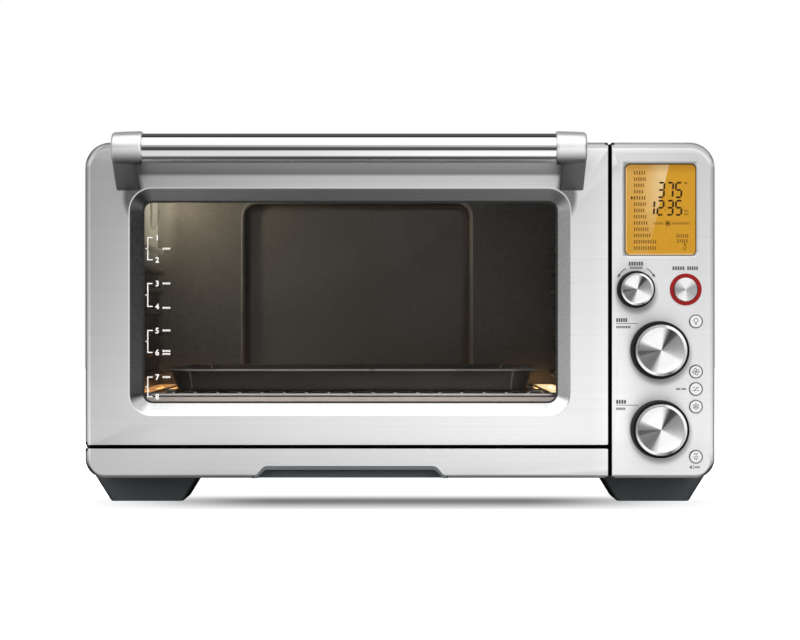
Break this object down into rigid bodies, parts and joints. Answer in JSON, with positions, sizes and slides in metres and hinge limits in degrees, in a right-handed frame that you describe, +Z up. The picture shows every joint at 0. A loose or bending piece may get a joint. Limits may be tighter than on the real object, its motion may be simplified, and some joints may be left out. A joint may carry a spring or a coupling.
{
  "type": "air fryer oven",
  "caption": "Steel countertop oven with a drop-down glass door, bar handle, crumb drawer, wire rack, roasting pan and a side panel of dials, keys and an amber display.",
  "frame": {"origin": "on the table under the middle of the oven's box", "axes": "+X to the right seen from the front, +Y to the rear, +Z up"},
  "size_m": [0.546, 0.444, 0.3205],
  "materials": {
    "casing_steel": "fine horizontal brush",
    "plain_steel": "mill finish",
    "coated_steel": "satin coat",
    "liner": "dark non-stick coat",
    "chrome": "polished",
    "fastener": "zinc plated",
    "aluminium": "satin",
    "key_grey": "metallic grey",
    "window_glass": "clear tempered",
    "display_glass": "clear",
    "display": "lit amber",
    "red_ring": "lit red",
    "quartz": "milky quartz",
    "ceramic": "unglazed",
    "bulb": "clear",
    "enamel": "dark enamel",
    "rubber": "moulded",
    "dark_plastic": "fine grain",
    "magnet": "dark ferrite",
    "board": "solder mask",
    "motor": "dark laminations"
  },
  "bodies": {
    "oven": {"outer_wrap": "casing_steel", "control_panel": "casing_steel", "front_frame": "plain_steel", "heat_shield": "plain_steel", "hinge_brackets": "plain_steel", "fan_housing": "plain_steel", "rear_panel": "coated_steel", "base_pan": "coated_steel", "cavity_left": "liner", "cavity_right": "liner", "cavity_top": "liner", "cavity_floor": "liner", "cavity_back": "liner", "fan_grille": "liner", "element_guard": "chrome", "temperature_probe": "chrome", "casing_screws": "fastener", "lamp_lens": "window_glass", "display_lens": "display_glass", "display_module": "display", "start_ring": "red_ring", "quartz_tubes": "quartz", "element_end_caps": "ceramic", "lamp_socket": "ceramic", "lamp_bulb": "bulb", "foot_pads": "rubber", "feet": "dark_plastic", "cord_gland": "dark_plastic", "panel_switches": "dark_plastic", "control_board": "board", "power_board": "board", "fan_motor": "motor"},
    "door": {"door_skin": "casing_steel", "door_inner_frame": "plain_steel", "door_glass": "window_glass", "glass_seal": "rubber", "handle_tube": "chrome", "handle_brackets": "aluminium", "handle_screws": "fastener", "hinge_pins": "fastener", "hinge_springs": "fastener", "rack_magnets": "magnet"},
    "drawer": {"crumb_tray": "liner", "tray_front": "casing_steel", "tray_grip": "dark_plastic"},
    "rack": {"wire_rack": "chrome"},
    "pan": {"roasting_pan": "enamel"},
    "fan_rotor": {"convection_fan": "aluminium", "fan_shaft": "fastener", "cooling_fan": "dark_plastic"},
    "select_plunger": {"select_shaft": "fastener"},
    "select_dial": {"select_knob": "aluminium"},
    "temp_dial": {"temp_knob": "aluminium"},
    "time_dial": {"time_knob": "aluminium"},
    "start_key": {"start_button": "aluminium"},
    "light_key": {"light_button": "key_grey"},
    "fan_key": {"fan_button": "key_grey"},
    "phase_key": {"phase_button": "key_grey"},
    "frozen_key": {"frozen_button": "key_grey"},
    "unit_key": {"unit_button": "key_grey"}
  },
  "joints": [
    {"name": "door_hinge", "type": "hinge", "parent": "oven", "child": "door", "pos_m": [-0.0433, -0.1715, 0.0565], "axis": [1, 0, 0], "range_deg": [0, 90], "stiffness_Nm_per_rad": 1, "springref_deg": -45.84},
    {"name": "rack_slide", "type": "slide", "parent": "oven", "child": "rack", "axis": [0, -1, 0], "range_m": [0, 0.06]},
    {"name": "pan_lift", "type": "slide", "parent": "rack", "child": "pan", "axis": [0, 0, 1], "range_m": [0, 0.09]},
    {"name": "tray_slide", "type": "slide", "parent": "oven", "child": "drawer", "axis": [0, -1, 0], "range_m": [0, 0.2]},
    {"name": "select_push", "type": "slide", "parent": "oven", "child": "select_plunger", "axis": [0, 1, 0], "range_m": [0, 0.001], "stiffness_N_per_m": 800},
    {"name": "select_turn", "type": "hinge", "parent": "select_plunger", "child": "select_dial", "pos_m": [0.2037, -0.177, 0.1858], "axis": [0, -1, 0], "continuous": true},
    {"name": "temp_turn", "type": "hinge", "parent": "oven", "child": "temp_dial", "pos_m": [0.2243, -0.177, 0.1333], "axis": [0, -1, 0], "continuous": true},
    {"name": "time_turn", "type": "hinge", "parent": "oven", "child": "time_dial", "pos_m": [0.2243, -0.177, 0.065], "axis": [0, -1, 0], "continuous": true},
    {"name": "start_push", "type": "slide", "parent": "oven", "child": "start_key", "axis": [0, 1, 0], "range_m": [0, 0.0012], "stiffness_N_per_m": 500},
    {"name": "light_push", "type": "slide", "parent": "oven", "child": "light_key", "axis": [0, 1, 0], "range_m": [0, 0.0012], "stiffness_N_per_m": 500},
    {"name": "fan_push", "type": "slide", "parent": "oven", "child": "fan_key", "axis": [0, 1, 0], "range_m": [0, 0.0012], "stiffness_N_per_m": 500},
    {"name": "phase_push", "type": "slide", "parent": "oven", "child": "phase_key", "axis": [0, 1, 0], "range_m": [0, 0.0012], "stiffness_N_per_m": 500},
    {"name": "frozen_push", "type": "slide", "parent": "oven", "child": "frozen_key", "axis": [0, 1, 0], "range_m": [0, 0.0012], "stiffness_N_per_m": 500},
    {"name": "unit_push", "type": "slide", "parent": "oven", "child": "unit_key", "axis": [0, 1, 0], "range_m": [0, 0.0012], "stiffness_N_per_m": 500},
    {"name": "fan_spin", "type": "hinge", "parent": "oven", "child": "fan_rotor", "pos_m": [0.1927, 0.0182, 0.17368], "axis": [1, 0, 0], "continuous": true}
  ],
  "couplings": [
    {"joint": "rack_slide", "follows": "door_hinge", "m_per_rad": 0.038}
  ]
}
